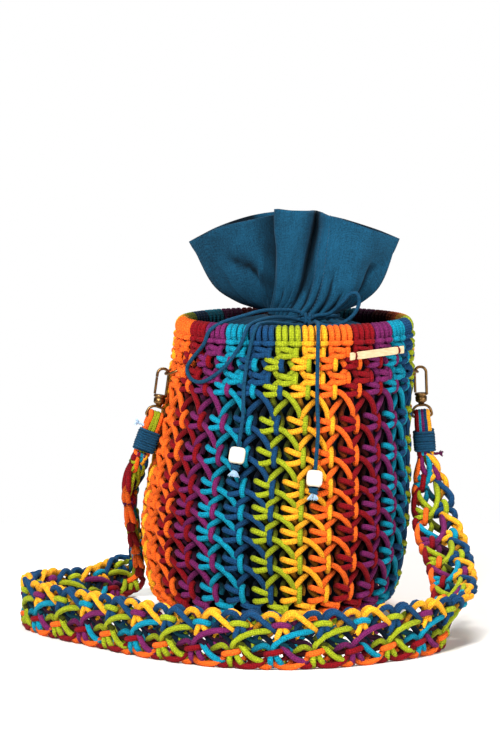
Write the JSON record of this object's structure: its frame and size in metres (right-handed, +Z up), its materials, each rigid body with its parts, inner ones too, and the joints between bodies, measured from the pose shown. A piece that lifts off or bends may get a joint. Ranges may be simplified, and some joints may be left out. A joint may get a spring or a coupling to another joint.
{
  "type": "bucket bag",
  "caption": "Round open-knotted cord bucket bag with a gathered cloth drawstring pouch inside and a knotted shoulder strap on snap hooks, laid round its front.",
  "frame": {"origin": "on the surface that the bag stands on, at the middle of its flat base", "axes": "+Z up, the front with the bow faces -Y, +X to the right as seen from the front"},
  "size_m": [0.3747, 0.3952, 0.342],
  "materials": {
    "knotted_cord": "matt cotton cord in seven colours, one for each column of knots",
    "blue_cotton": "matt plain-woven cotton",
    "blue_cord": "matt round cord",
    "pale_wood": "sanded, bare",
    "antique_brass": "dark antique plating"
  },
  "bodies": {
    "bag": {"knotted_body": "knotted_cord", "knotted_strap": "knotted_cord", "drawstring_pouch": "blue_cotton", "drawcord_neck_turn": "blue_cord", "bow_knot": "blue_cord", "drawcord_left_loop": "blue_cord", "drawcord_right_loop": "blue_cord", "drawcord_left_tail": "blue_cord", "drawcord_right_tail": "blue_cord", "stopper_knot_left": "blue_cord", "stopper_knot_right": "blue_cord", "whipping_left": "blue_cord", "whipping_right": "blue_cord", "bead_left": "pale_wood", "bead_right": "pale_wood", "wooden_tag": "pale_wood", "ring_left": "antique_brass", "hook_left": "antique_brass", "d_loop_left": "antique_brass", "ring_right": "antique_brass", "hook_right": "antique_brass", "d_loop_right": "antique_brass"},
    "gate_left": {"gate_left": "antique_brass"},
    "gate_right": {"gate_right": "antique_brass"}
  },
  "joints": [
    {"name": "gate_left_hinge", "type": "hinge", "parent": "bag", "child": "gate_left", "pos_m": [-0.099, -0.02288, 0.18799], "axis": [-0.195, 0.9808, 0], "range_deg": [0, 20], "stiffness_Nm_per_rad": 0.002},
    {"name": "gate_right_hinge", "type": "hinge", "parent": "bag", "child": "gate_right", "pos_m": [0.12015, -0.00293, 0.18678], "axis": [0.0282, 0.9996, 0], "range_deg": [0, 20], "stiffness_Nm_per_rad": 0.002}
  ]
}
